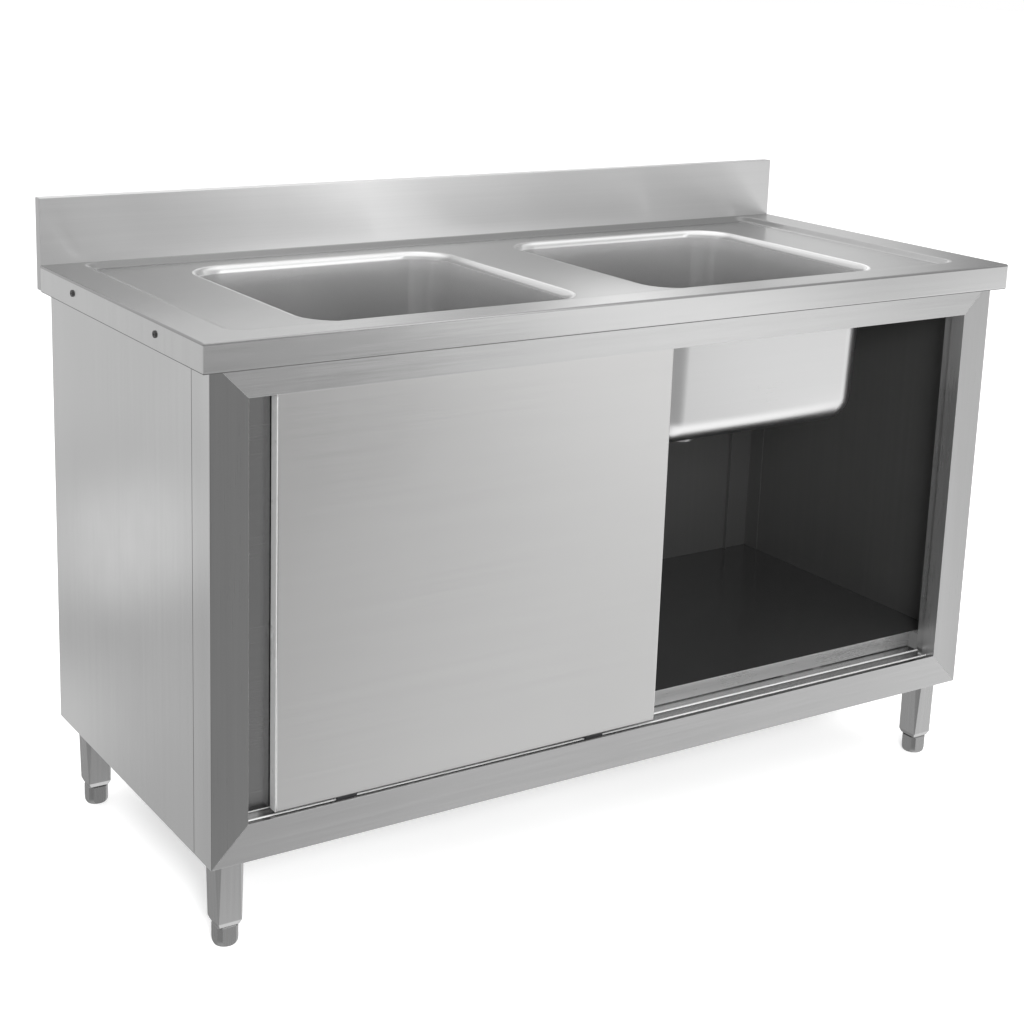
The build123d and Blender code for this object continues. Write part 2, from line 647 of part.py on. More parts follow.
# ================================================================ doors
def door_pieces(name, left, middle_y, guide_floor_rear):
    """One sliding door: folded skin, liner, hangers, axles, rollers and guides."""
    centre_x = left + door_width / 2
    front = middle_y - door_thickness / 2
    back = middle_y + door_thickness / 2
    right = left + door_width

    with BuildPart() as inside:
        slab(left + door_sheet, right - door_sheet, front + door_sheet, back + 1,
             door_bottom + door_sheet, door_top - door_sheet)
        inner_edges = inside.edges().filter_by(lambda e: e.center().Y < front + door_sheet + 0.01)
        fillet(inner_edges, door_edge_radius - door_sheet)
    with BuildPart() as skin:
        slab(left, right, front, back, door_bottom, door_top)
        outer_edges = skin.edges().filter_by(lambda e: e.center().Y < front + 0.01)
        fillet(outer_edges, door_edge_radius)
        add(inside.part, mode=Mode.SUBTRACT)
    save(skin, f"{name}_skin")

    inset = door_sheet + liner_clearance
    with BuildPart() as liner:
        slab(left + inset, right - inset, back - liner_fold, back, door_bottom + inset, door_top - inset)
        slab(left + inset + door_sheet, right - inset - door_sheet, back - liner_fold, back - door_sheet,
             door_bottom + inset + door_sheet, door_top - inset - door_sheet, mode=Mode.SUBTRACT)
    save(liner, f"{name}_liner")

    plate_front = middle_y - 1.0
    plate_back = plate_front + hanger_thickness
    web_back = middle_y - front_door_y + front_web_y + track_sheet
    roller_front = web_back + roller_web_gap
    roller_back = roller_front + roller_width
    hanger_places = (left + hanger_inset, right - hanger_inset)

    with BuildPart() as hangers:
        for place in hanger_places:
            slab(place - hanger_width / 2, place + hanger_width / 2, plate_back - hanger_foot, plate_back,
                 door_top, door_top + hanger_thickness)
            slab(place - hanger_width / 2, place + hanger_width / 2, plate_front, plate_back,
                 door_top, roller_z + hanger_head_room)
            with Locations(Location((place, plate_front, roller_z), (90, 0, 0))):
                Cylinder(axle_radius, 6 * hanger_thickness, mode=Mode.SUBTRACT)
    save(hangers, f"{name}_hangers")

    with BuildPart() as axles:
        for place in hanger_places:
            for radius, start, end in (
                    (axle_radius, roller_front - axle_head_thickness, plate_back + axle_head_thickness),
                    (axle_head_radius, roller_front - axle_clearance * 4 - axle_head_thickness,
                     roller_front - axle_clearance * 4),
                    (axle_washer_radius, roller_back + axle_clearance * 4, plate_front),
                    (axle_washer_radius, plate_back, plate_back + axle_head_thickness)):
                with BuildSketch(Plane.XZ.offset(-start)):
                    with Locations((place, roller_z)):
                        Circle(radius)
                extrude(amount=-(end - start))
    save(axles, f"{name}_axles")

    for end_name, place in (("left", hanger_places[0]), ("right", hanger_places[1])):
        with BuildPart() as roller:
            with BuildSketch(Plane.XY.offset(roller_z)):
                with BuildLine():
                    low = axle_radius + axle_clearance
                    Polyline((place + low, roller_front), (place + roller_radius - roller_edge, roller_front),
                             (place + roller_radius, roller_front + roller_edge),
                             (place + roller_radius, roller_back - roller_edge),
                             (place + roller_radius - roller_edge, roller_back),
                             (place + low, roller_back), close=True)
                make_face()
            revolve(axis=Axis((place, 0, roller_z), (0, 1, 0)))
        save(roller, f"{name}_{end_name}_roller")

    ridge_rise = front_ridge_rise if middle_y == front_door_y else rear_ridge_rise
    slot_half = ridge_width / 2 + guide_side_clearance
    slot_top = ridge_base + ridge_rise + guide_floor_clearance
    with BuildPart() as guides:
        for place in (left + guide_inset, right - guide_inset):
            start = place - guide_length / 2
            end = place + guide_length / 2
            slab(start, end, middle_y - guide_width / 2, middle_y + guide_width / 2, slot_top, door_bottom)
            slab(start, end, middle_y - guide_width / 2, middle_y - slot_half,
                 ridge_base + guide_floor_clearance, door_bottom)
            slab(start, end, middle_y + slot_half, middle_y + guide_width / 2,
                 guide_floor_rear + guide_floor_clearance, door_bottom)
    save(guides, f"{name}_guides")
    print(f"{name}: x {left:.1f} to {right:.1f}, y {front:.1f} to {back:.1f}, middle {centre_x:.1f}")


door_pieces("front_door", front_door_left, front_door_y, ridge_base)
door_pieces("rear_door", rear_door_left, rear_door_y, ledge_z)


# ================================================================ legs
def chamfered_square(size, cut, z):
    half = size / 2
    with BuildSketch(Plane.XY.offset(z)) as outline:
        with BuildLine():
            Polyline((half - cut, -half), (half, -half + cut), (half, half - cut), (half - cut, half),
                     (-half + cut, half), (-half, half - cut), (-half, -half + cut), (-half + cut, -half),
                     close=True)
        make_face()
    return outline.sketch


crimp_z = foot_height + leg_crimp_height
with BuildPart() as leg_hollow:
    loft([chamfered_square(leg_bottom_size - 2 * leg_wall, leg_bottom_chamfer, foot_height + leg_neck),
          chamfered_square(leg_top_size - 2 * leg_wall, leg_top_chamfer, leg_height - leg_cap)])
with BuildPart() as leg_shape:
    loft([chamfered_square(leg_bottom_size, leg_bottom_chamfer, crimp_z),
          chamfered_square(leg_top_size, leg_top_chamfer, leg_height)])
    loft([chamfered_square(leg_bottom_size - 2 * leg_crimp_inset, leg_bottom_chamfer, foot_height),
          chamfered_square(leg_bottom_size, leg_bottom_chamfer, crimp_z)])
    add(leg_hollow.part, mode=Mode.SUBTRACT)
    with BuildSketch(Plane.XY.offset(foot_height)):
        Circle(stem_radius + stem_clearance)
    extrude(amount=leg_neck, mode=Mode.SUBTRACT)
    with BuildSketch(Plane.XY.offset(leg_height)):
        Circle(bolt_radius + thread_clearance)
    extrude(amount=-leg_cap, mode=Mode.SUBTRACT)

with BuildPart() as foot_shape:
    base_line = foot_height - stem_clearance * 4
    with BuildSketch(Plane.XZ):
        with BuildLine():
            Polyline((0, base_line), (0, 0), (foot_base_radius, 0))
            Spline((foot_base_radius, 0), (foot_radius, foot_base_rise),
                   tangents=((1, 0.15), (0.05, 1)))
            Polyline((foot_radius, foot_base_rise), (foot_radius, base_line), (0, base_line))
        make_face()
    revolve(axis=Axis.Z)
    with BuildSketch(Plane.XY):
        Rectangle(foot_across_flats, foot_across_flats)
    extrude(amount=foot_height, mode=Mode.INTERSECT)
    chamfer(foot_shape.faces().sort_by(Axis.Z)[-1].edges(), 1.5)
    with BuildSketch(Plane.XY.offset(base_line)):
        Circle(stem_radius)
    extrude(amount=stem_length)

plate_z = frame_bottom + frame_sheet
leg_corners = (("front_left", -leg_x, front_leg_y), ("front_right", leg_x, front_leg_y),
               ("rear_left", -leg_x, rear_leg_y), ("rear_right", leg_x, rear_leg_y))
for corner_name, corner_x, corner_y in leg_corners:
    here = Location((corner_x, corner_y, 0))
    for shape, name in ((leg_shape, "leg"), (foot_shape, "foot")):
        with BuildPart() as placed:
            add(shape.part.moved(here))
        save(placed, f"{corner_name}_{name}")

with BuildPart() as leg_plates:
    for _, corner_x, corner_y in leg_corners:
        side = math.copysign(1, corner_x)
        end = math.copysign(1, corner_y)
        near_x = side * (cabinet_x - leg_plate_edge_gap)
        far_x = near_x - side * leg_plate_size_x
        near_y = corner_y - end * leg_plate_size_y / 4
        far_y = near_y + end * leg_plate_size_y
        slab(min(near_x, far_x), max(near_x, far_x), min(near_y, far_y), max(near_y, far_y),
             plate_z, plate_z + leg_plate_thickness)
    with Locations([(corner_x, corner_y, plate_z) for _, corner_x, corner_y in leg_corners]):
        Cylinder(bolt_radius + hole_clearance, 4 * leg_plate_thickness, mode=Mode.SUBTRACT)
save(leg_plates, "leg_plates")

with BuildPart() as leg_bolts:
    bolt_seat = plate_z + leg_plate_thickness
    spots = [(corner_x, corner_y) for _, corner_x, corner_y in leg_corners]
    with BuildSketch(Plane.XY.offset(leg_height - bolt_grip_in_leg)):
        with Locations(*spots):
            Circle(bolt_radius)
    extrude(amount=bolt_seat - leg_height + bolt_grip_in_leg)
    with BuildSketch(Plane.XY.offset(bolt_seat)):
        with Locations(*spots):
            RegularPolygon(bolt_head_across / 2, 6, major_radius=False)
    extrude(amount=bolt_head_height)
save(leg_bolts, "leg_bolts")

# ================================================================ worktop screws
with BuildPart() as worktop_screws:
    for side in (-1, 1):
        for place in (-screw_place_y, screw_place_y):
            seat = Plane((side * half_width, place, screw_z), x_dir=(0, 1, 0), z_dir=(side, 0, 0))
            with BuildSketch(seat):
                Circle(screw_head_radius)
            extrude(amount=screw_head_height)
            with BuildSketch(seat):
                Circle(screw_radius)
            extrude(amount=-screw_length)
    domes = worktop_screws.faces().filter_by(Axis.X)
    domes = domes.filter_by(lambda f: abs(abs(f.center().X) - half_width - screw_head_height) < 0.01)
    chamfer(domes.edges(), screw_head_height / 3)
    for side in (-1, 1):
        for place in (-screw_place_y, screw_place_y):
            head = Plane((side * (half_width + screw_head_height), place, screw_z),
                         x_dir=(0, 1, 0), z_dir=(side, 0, 0))
            with BuildSketch(head):
                Rectangle(screw_cross_length, screw_cross_width)
                Rectangle(screw_cross_width, screw_cross_length)
            extrude(amount=-screw_cross_depth, mode=Mode.SUBTRACT)
save(worktop_screws, "worktop_screws")

with BuildPart() as rivet_nuts:
    for side in (-1, 1):
        for place in (-screw_place_y, screw_place_y):
            seat = Plane((side * cabinet_x, place, screw_z), x_dir=(0, 1, 0), z_dir=(side, 0, 0))
            with BuildSketch(seat):
                Circle(rivet_nut_flange_radius)
                Circle(screw_radius + thread_clearance, mode=Mode.SUBTRACT)
            extrude(amount=rivet_nut_flange_thickness)
            with BuildSketch(seat):
                Circle(rivet_nut_radius)
                Circle(screw_radius + thread_clearance, mode=Mode.SUBTRACT)
            extrude(amount=-rivet_nut_length)
save(rivet_nuts, "rivet_nuts")

print(f"door width {door_width:.1f}, roller radius {roller_radius}, sink rim {bowl_rim:.0f} square")
print(f"roller centre z {roller_z:.1f}, opening {2 * opening_x:.0f} x {opening_top - opening_bottom:.1f}")
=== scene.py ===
# %% [markdown]
# # A stainless steel sink unit
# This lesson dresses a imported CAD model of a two-bowl sink unit. The CAD model is the fixed frame: it
# says where every piece is, in metres. This script gives the pieces their rounded edges, their brushed
# steel and the light they stand in. Nothing of the frame is moved. Where a piece needs more shape than
# the CAD gives, a new mesh is made over its node and stands for it.

# %% Load the frame
import bpy
import bmesh
import json
import math
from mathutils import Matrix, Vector

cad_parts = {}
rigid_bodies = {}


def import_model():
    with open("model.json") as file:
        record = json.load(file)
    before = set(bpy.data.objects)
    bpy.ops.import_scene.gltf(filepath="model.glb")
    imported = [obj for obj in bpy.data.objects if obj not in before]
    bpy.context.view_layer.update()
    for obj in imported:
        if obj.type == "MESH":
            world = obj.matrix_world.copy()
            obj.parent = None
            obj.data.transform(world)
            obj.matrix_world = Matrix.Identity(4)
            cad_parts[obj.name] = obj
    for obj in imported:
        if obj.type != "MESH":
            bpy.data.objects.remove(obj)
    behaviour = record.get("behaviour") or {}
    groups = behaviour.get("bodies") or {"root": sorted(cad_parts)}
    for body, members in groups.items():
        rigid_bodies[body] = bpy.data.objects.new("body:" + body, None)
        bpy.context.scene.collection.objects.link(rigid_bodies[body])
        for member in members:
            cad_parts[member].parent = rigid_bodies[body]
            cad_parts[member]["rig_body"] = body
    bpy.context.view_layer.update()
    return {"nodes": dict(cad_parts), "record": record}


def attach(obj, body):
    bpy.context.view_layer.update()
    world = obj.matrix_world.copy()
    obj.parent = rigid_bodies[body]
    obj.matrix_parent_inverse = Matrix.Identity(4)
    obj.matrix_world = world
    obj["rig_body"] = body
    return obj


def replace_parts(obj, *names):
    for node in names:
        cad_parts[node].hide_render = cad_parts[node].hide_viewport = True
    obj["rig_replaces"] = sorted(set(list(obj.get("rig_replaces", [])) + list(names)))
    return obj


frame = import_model()
nodes = frame["nodes"]
mm = 0.001

# %% [markdown]
# ## The camera
# The photograph was taken from the front left, a little above the worktop, and its upright lines were
# kept upright. A camera that copies it exactly needs a large lens shift, and then other views of the unit
# would leave the picture. This camera stands where the view comes closest with a small shift.

# %% Camera
camera_data = bpy.data.cameras.new("photo_camera")
camera = bpy.data.objects.new("photo_camera", camera_data)
bpy.context.scene.collection.objects.link(camera)
camera.location = (-1.6016, -2.3245, 1.3424)
camera.rotation_euler = tuple(math.radians(angle) for angle in (76.745, -1.501, -31.445))
camera_data.sensor_width = 36.0
camera_data.lens = 65.19
camera_data.shift_x = 0.0605
camera_data.shift_y = -0.1387
camera_data.clip_end = 100.0
bpy.context.scene.camera = camera
print("camera at", tuple(round(v, 3) for v in camera.location), "lens", camera_data.lens)

# %% [markdown]
# ## Small node helpers
# Each material is a handful of shader nodes. These helpers make a node, join two sockets and set a
# value, so that each recipe below reads as a short list.

# %% Node helpers
def new_material(name):
    """An empty node material with a Principled shader; returns the material, its tree and the shader."""
    material = bpy.data.materials.new(name)
    material.use_nodes = True
    tree = material.node_tree
    tree.nodes.clear()
    output = tree.nodes.new("ShaderNodeOutputMaterial")
    shader = tree.nodes.new("ShaderNodeBsdfPrincipled")
    tree.links.new(shader.outputs["BSDF"], output.inputs["Surface"])
    return material, tree, shader


def remap(tree, source, low, high, from_low=0.0, from_high=1.0, smooth=False):
    """Map a grey value onto a new range."""
    node = tree.nodes.new("ShaderNodeMapRange")
    node.interpolation_type = "SMOOTHSTEP" if smooth else "LINEAR"
    for key, value in (("From Min", from_low), ("From Max", from_high), ("To Min", low), ("To Max", high)):
        node.inputs[key].default_value = value
    tree.links.new(source, node.inputs["Value"])
    return node.outputs["Result"]


def combine(tree, operation, first, second):
    """A math node on two sockets, or on a socket and a number."""
    node = tree.nodes.new("ShaderNodeMath")
    node.operation = operation
    for index, value in enumerate((first, second)):
        if isinstance(value, (int, float)):
            node.inputs[index].default_value = value
        else:
            tree.links.new(value, node.inputs[index])
    return node.outputs[0]


print("node helpers ready")

# %% [markdown]
# ## Noise, paint and relief
# Real sheet is never quite even. Noise gives soft grey clouds, which can steer the colour, the gloss or
# the height of a surface. A picture of real steel could do it too, but noise has no size and no seam.

# %% Surface helpers
def noise(tree, vector, scale, detail, roughness=0.5, distortion=0.0, flat=False):
    """Soft grey clouds; flat keeps them in the plane of a map."""
    node = tree.nodes.new("ShaderNodeTexNoise")
    node.noise_dimensions = "2D" if flat else "3D"
    for key, value in (("Scale", scale), ("Detail", detail), ("Roughness", roughness),
                       ("Distortion", distortion)):
        node.inputs[key].default_value = value
    tree.links.new(vector, node.inputs["Vector"])
    return node.outputs["Fac"]


def spread(tree, source, low, high):
    """Map the part of its range that noise mostly fills onto low to high."""
    return remap(tree, source, low, high, 0.3, 0.7)


def sway(tree, source, middle, swing):
    """Let noise move a value to both sides of its middle."""
    return spread(tree, source, middle - swing, middle + swing)


def paint(tree, shader, tone, colour):
    """Base colour: a colour times a grey value."""
    node = tree.nodes.new("ShaderNodeCombineColor")
    for channel, part in zip(("Red", "Green", "Blue"), colour):
        tree.links.new(combine(tree, "MULTIPLY", tone, part), node.inputs[channel])
    tree.links.new(node.outputs["Color"], shader.inputs["Base Color"])


def relief(tree, shader, height, strength, distance):
    """Let a grey value raise and lower the surface by up to a distance in metres."""
    node = tree.nodes.new("ShaderNodeBump")
    node.inputs["Strength"].default_value = strength
    node.inputs["Distance"].default_value = distance
    tree.links.new(height, node.inputs["Height"])
    tree.links.new(node.outputs["Normal"], shader.inputs["Normal"])


print("surface helpers ready")

# %% [markdown]
# ## Brushed steel
# The sheet is brushed: a belt leaves fine lines that run one way, and they spread each highlight across
# them. A map called "grain" on every piece says which way they run. Noise that is stretched along it
# reads as brush marks, at three widths: hair lines, scratches and broad passes of the belt. Soft clouds
# in the gloss are the marks that rolling and wiping leave, and sharp edges are painted a touch brighter
# as a painted highlight.

# %% Brushed steel recipe
brush_sizes = {"hairs": (1700.0, 14.0, 3.0), "scratches": (420.0, 5.0, 2.0), "passes": (90.0, 1.6, 2.0)}
# share by which sharp edges are painted brighter: a painted highlight
painted_edge_highlight = 0.06


def brush_marks(tree, grain, across, along, detail):
    """Noise stretched along the brush marks; across and along count its clouds per metre."""
    stretch = tree.nodes.new("ShaderNodeMapping")
    stretch.inputs["Scale"].default_value = (across, along, 1.0)
    tree.links.new(grain, stretch.inputs["Vector"])
    return noise(tree, stretch.outputs["Vector"], 1.0, detail, 0.6, flat=True)


def steel(name, colour, roughness=0.28, anisotropy=0.55, marks=1.0, clouds=1.0, tint=(1.0, 1.0, 1.0),
          bump=1.0, body=0.0, depth=None):
    """Brushed steel.

    marks and clouds make the brush marks and the soft blotches stronger; body is the share of light that
    the dull film on the steel scatters like paint; depth is (low, high, tone at low, tone at high), for
    painted shade that makes a sheet darker further down.
    """
    material, tree, shader = new_material(name)
    link = tree.links.new
    shader.inputs["Metallic"].default_value = 1.0 - body
    shader.inputs["Anisotropic"].default_value = anisotropy
    grain = tree.nodes.new("ShaderNodeUVMap")
    tangent = tree.nodes.new("ShaderNodeTangent")
    tangent.direction_type = "UV_MAP"
    grain.uv_map = tangent.uv_map = "grain"
    link(tangent.outputs["Tangent"], shader.inputs["Tangent"])
    place = tree.nodes.new("ShaderNodeTexCoord").outputs["Object"]
    hairs, scratches, passes = (brush_marks(tree, grain.outputs["UV"], *size) for size in brush_sizes.values())
    cloud = noise(tree, place, 4.5, 3.0)
    smear = noise(tree, place, 23.0, 4.0, 0.55, 0.6)

    rough = sway(tree, hairs, roughness, 0.030 * marks)
    for source, swing in ((scratches, 0.020 * marks), (cloud, 0.035 * clouds), (smear, 0.012 * clouds)):
        rough = combine(tree, "ADD", rough, sway(tree, source, 0.0, swing))
    link(rough, shader.inputs["Roughness"])

    tone = sway(tree, passes, 1.0, 0.030 * marks)
    for source, swing in ((scratches, 0.022 * marks), (cloud, 0.025 * clouds)):
        tone = combine(tree, "MULTIPLY", tone, sway(tree, source, 1.0, swing))
    # painted shade: the tone changes with height, darker further down
    if depth is not None:
        low, high, tone_low, tone_high = depth
        split = tree.nodes.new("ShaderNodeSeparateXYZ")
        link(place, split.inputs["Vector"])
        tone = combine(tree, "MULTIPLY", tone, remap(tree, split.outputs["Z"], tone_low, tone_high, low, high))
    # painted highlight: sharp edges are painted brighter
    sharpness = tree.nodes.new("ShaderNodeNewGeometry").outputs["Pointiness"]
    painted_edge_tone = remap(tree, sharpness, 1.0, 1.0 + painted_edge_highlight, 0.52, 0.60, smooth=True)
    paint(tree, shader, combine(tree, "MULTIPLY", tone, painted_edge_tone), [colour * part for part in tint])

    lines = combine(tree, "ADD", combine(tree, "MULTIPLY", hairs, 0.6), combine(tree, "MULTIPLY", scratches, 0.4))
    relief(tree, shader, lines, 0.10 * bump * marks, 0.0002)
    return material


print("brush marks:", brush_sizes)

# %% [markdown]
# ## One steel for each sheet that is seen
# All of the unit is one kind of steel, but each sheet mirrors another part of the room, and so each sheet's
# base colour is set lighter or darker: painted light and painted shade on copies of one steel. A short list
# of recipes is easier to match to a photograph, sheet by sheet. The number after each name is how much light comes
# back.

# %% Steels of the outside
# Painted light and shade: each base colour below is a lit or shaded copy of one steel, set for what its sheet
# mirrors
worktop_steel = steel("worktop_steel", 0.42, roughness=0.20, anisotropy=0.4, marks=0.5, clouds=0.3, bump=0.4)
fascia_steel = steel("fascia_steel", 0.70, roughness=0.19, anisotropy=0.2, marks=0.5, clouds=0.3, bump=0.4)
upstand_steel = steel("upstand_steel", 0.74, roughness=0.31, anisotropy=1.0, marks=0.35, clouds=0.15, bump=0.2)
# painted shade under the fascia's fold and where the tray meets the upstand
seam_steel = steel("seam_steel", 0.12, roughness=0.35, anisotropy=0.0, marks=0.2)
# painted shade and light: the bowls are painted darker towards their floor and brighter towards the rim
bowl_steel = steel("bowl_steel", 0.70, roughness=0.24, anisotropy=0.0, marks=0.08, clouds=0.35, bump=0.5,
                   body=0.08, depth=(0.60, 0.82, 0.70, 1.15))
bowl_outside = steel("bowl_outside", 0.74, roughness=0.29, anisotropy=0.1, marks=0.15, clouds=0.4, bump=0.2)
rail_steel = steel("rail_steel", 0.63, roughness=0.19, anisotropy=0.2, marks=0.6, clouds=0.4, bump=0.5)
low_rail_steel = steel("low_rail_steel", 0.50, roughness=0.22, anisotropy=0.5, marks=0.6, clouds=0.4, bump=0.5)
# painted shade: the left post is painted darker than the right
post_steel = steel("post_steel", 0.30, roughness=0.30, anisotropy=0.8, marks=0.5, clouds=0.4, bump=0.4)
right_post_steel = steel("right_post_steel", 0.53, roughness=0.30, anisotropy=0.8, marks=0.5, clouds=0.4, bump=0.4)
# painted highlight for the posts' turned edges and the doors' left sides
edge_steel = steel("edge_steel", 0.80, roughness=0.30, anisotropy=0.0, marks=0.2, body=0.6)
side_steel = steel("side_steel", 0.68, roughness=0.15, anisotropy=0.1, marks=0.3, clouds=0.4, bump=0.4)
door_steel = steel("door_steel", 0.68, roughness=0.22, anisotropy=0.2, marks=0.25, clouds=0.3, bump=0.3,
                   tint=(1.005, 1.0, 0.995))
# painted shade: the rear door is painted darker than the front door
rear_door_steel = steel("rear_door_steel", 0.24, roughness=0.26, anisotropy=0.4, marks=0.5, clouds=0.4, bump=0.5)
leg_steel = steel("leg_steel", 0.45, roughness=0.24, anisotropy=0.5, marks=0.8)
foot_steel = steel("foot_steel", 0.34, roughness=0.28, anisotropy=0.1, marks=0.6)
screw_steel = steel("screw_steel", 0.10, roughness=0.18, anisotropy=0.0, marks=0.3)
print("steels of the outside:", len(bpy.data.materials))

# %% [markdown]
# ## Steels of the inside
# Inside the cupboard the sheet is painted dark, as painted shade, because it mirrors other dark sheet. The
# crowns of the door track are painted bright, and the shelf's front lip too: painted highlights.

# %% Steels of the inside
# Painted shade: the inside sheets, the shelf and the hidden parts are dark copies of one steel; the jamb is painted
# lighter
inner_steel = steel("inner_steel", 0.24, roughness=0.36, anisotropy=0.4, marks=0.5, body=0.15)
jamb_steel = steel("jamb_steel", 0.46, roughness=0.30, anisotropy=0.8, marks=0.6, body=0.15)
shelf_steel = steel("shelf_steel", 0.15, roughness=0.16, anisotropy=0.2, marks=0.5, body=0.20)
# painted highlight on the shelf's front lip
lip_steel = steel("lip_steel", 0.60, roughness=0.28, anisotropy=0.4, marks=0.5, body=0.15)
track_steel = steel("track_steel", 0.46, roughness=0.24, anisotropy=0.4, marks=0.5, body=0.05)
# painted highlight on the crowns of the door track
ridge_steel = steel("ridge_steel", 0.82, roughness=0.30, anisotropy=0.0, marks=0.2, body=0.5)
waste_steel = steel("waste_steel", 0.70, roughness=0.14, anisotropy=0.2, marks=0.3)
hidden_steel = steel("hidden_steel", 0.45, roughness=0.35, anisotropy=0.4)
print("all steels:", [m.name for m in bpy.data.materials if m.name.endswith("steel")])

# %% [markdown]
# ## Rubber, nylon and plastic
# Seals, rollers, guides and the nuts of the wastes are small moulded parts. Their moulds leave a fine
# texture and a slightly uneven gloss, so one recipe with another colour for each is enough.

# %% Moulded materials
def moulded(name, colour, roughness):
    """Rubber or plastic out of a mould."""
    material, tree, shader = new_material(name)
    place = tree.nodes.new("ShaderNodeTexCoord").outputs["Object"]
    fine = noise(tree, place, 900.0, 2.0)
    broad = noise(tree, place, 60.0, 3.0)
    paint(tree, shader, spread(tree, broad, 0.90, 1.08), colour)
    tree.links.new(sway(tree, broad, roughness, 0.06), shader.inputs["Roughness"])
    relief(tree, shader, fine, 0.15, 0.0003)
    return material


rubber = moulded("seal_rubber", (0.025, 0.025, 0.027), 0.62)
nylon = moulded("natural_nylon", (0.74, 0.73, 0.68), 0.42)
dark_nylon = moulded("dark_nylon", (0.035, 0.035, 0.037), 0.45)
black_plastic = moulded("black_plastic", (0.03, 0.03, 0.032), 0.36)
print("moulded materials:", [m.name for m in (rubber, nylon, dark_nylon, black_plastic)])

# %% [markdown]
# ## The way the brush marks run
# Each sheet was brushed before it was folded, so its marks run along the piece on every face. Every face
# gets flat map coordinates with the second axis along the marks. Unwrapping each piece by hand would do
# the same, with more work. Faces that look straight down the marks, such as the cut end of a rail, use
# another direction.

# %% Grain map
lengthways, upright = (1, 0, 0), (0, 0, 1)


def map_grain(mesh, along):
    """Write the "grain" map of a mesh: V runs along the brush marks and U across them, in metres."""
    layer = mesh.uv_layers.get("grain") or mesh.uv_layers.new(name="grain")
    first = Vector(along).normalized()
    spare = Vector((0, 0, 1)) if abs(first.z) < 0.9 else Vector((1, 0, 0))
    third = first.cross(spare)
    for face in mesh.polygons:
        normal = face.normal
        way = first if abs(normal.dot(first)) < 0.8 else (spare if abs(normal.dot(spare)) < 0.8 else third)
        flat = (way - normal * way.dot(normal)).normalized()
        side = flat.cross(normal)
        for corner in face.loop_indices:
            point = mesh.vertices[mesh.loops[corner].vertex_index].co
            layer.data[corner].uv = (point.dot(side), point.dot(flat))
    mesh.uv_layers.active = layer


print("brush marks run", lengthways, "or", upright)

# %% [markdown]
# ## From a mesh in hand to a piece
# Every new piece goes the same way: its mesh is smoothed and gets its grain map, the piece rides on the
# body of the CAD model that it moves with, and it is given its materials. A sheet drawn as a single
# surface is thickened downwards. Weighted normals keep broad flat faces flat beside a small bevel.

# %% Piece helpers
def smooth_mesh(work, name, along):
    """Turn the mesh in hand into a smooth-shaded one with its grain map."""
    for face in work.faces:
        face.smooth = True
    mesh = bpy.data.meshes.new(name)
    work.to_mesh(mesh)
    work.free()
    map_grain(mesh, along)
    return mesh


def give(piece, *materials):
    """Replace a piece's materials."""
    piece.data.materials.clear()
    for material in materials:
        piece.data.materials.append(material)


def new_piece(mesh, body, *materials):
    """A piece of the visual model, named as its mesh, that rides on a CAD body."""
    piece = bpy.data.objects.new(mesh.name, mesh)
    bpy.context.scene.collection.objects.link(piece)
    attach(piece, body)
    give(piece, *materials)
    return piece


def thicken(piece, thickness, other_side=0):
    """Give a single surface its sheet thickness in millimetres, behind its normals."""
    sheet = piece.modifiers.new("sheet", "SOLIDIFY")
    sheet.thickness = thickness * mm
    sheet.offset = -1.0
    sheet.material_offset = other_side


def even_flats(piece, keep_sharp=False):
    """Let broad faces decide the shading beside a bevel."""
    weigh = piece.modifiers.new("even_flats", "WEIGHTED_NORMAL")
    weigh.keep_sharp = keep_sharp
    weigh.weight = 80


print("piece helpers ready")

# %% [markdown]
# ## Folded sheet with real edges
# The CAD sheets have knife edges. A folded or cut sheet has a small radius, and that radius is what
# catches the light. Each sheet is copied from its CAD node, its flat faces are joined up, and a bevel
# rounds its edges. A bevel modifier on the node would change the frame, so the copy stands for it.

# %% Softened copies
def softened(node, material, along, radius=0.0005, segments=2, angle=30.0, others=()):
    """A copy of a CAD node with rounded edges, that stands for the node.

    radius is in metres. others holds pairs of a test and a material: a face that passes a test, given its
    centre and its normal, takes that material.
    """
    source = nodes[node]
    work = bmesh.new()
    work.from_mesh(source.data)
    bmesh.ops.remove_doubles(work, verts=work.verts, dist=1e-6)
    bmesh.ops.dissolve_limit(work, angle_limit=math.radians(0.6), verts=work.verts, edges=work.edges)
    bmesh.ops.recalc_face_normals(work, faces=work.faces)
    sharp = [e for e in work.edges if len(e.link_faces) == 2 and e.calc_face_angle(0.0) > math.radians(angle)]
    if sharp:
        bmesh.ops.bevel(work, geom=sharp, offset=radius, offset_type="OFFSET", segments=segments,
                        profile=0.5, affect="EDGES", clamp_overlap=True)
    mesh = smooth_mesh(work, node + "_sheet", along)
    piece = new_piece(mesh, source["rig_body"], material, *(finish for test, finish in others))
    for index, (test, finish) in enumerate(others, start=1):
        for face in mesh.polygons:
            if test(face.center, face.normal):
                face.material_index = index
    even_flats(piece, keep_sharp=True)
    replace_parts(piece, node)
    return piece


print("softened copies ready")

# %% [markdown]
# ## Rings
# A pressed sheet is drawn here as rounded rectangles, one inside the next, joined by bands of faces. A
# subdivided cage would be quicker to draw, but rings follow the drawing's own radii exactly. All the
# numbers from here on are millimetres.

# %% Ring tools
corner_steps = 10


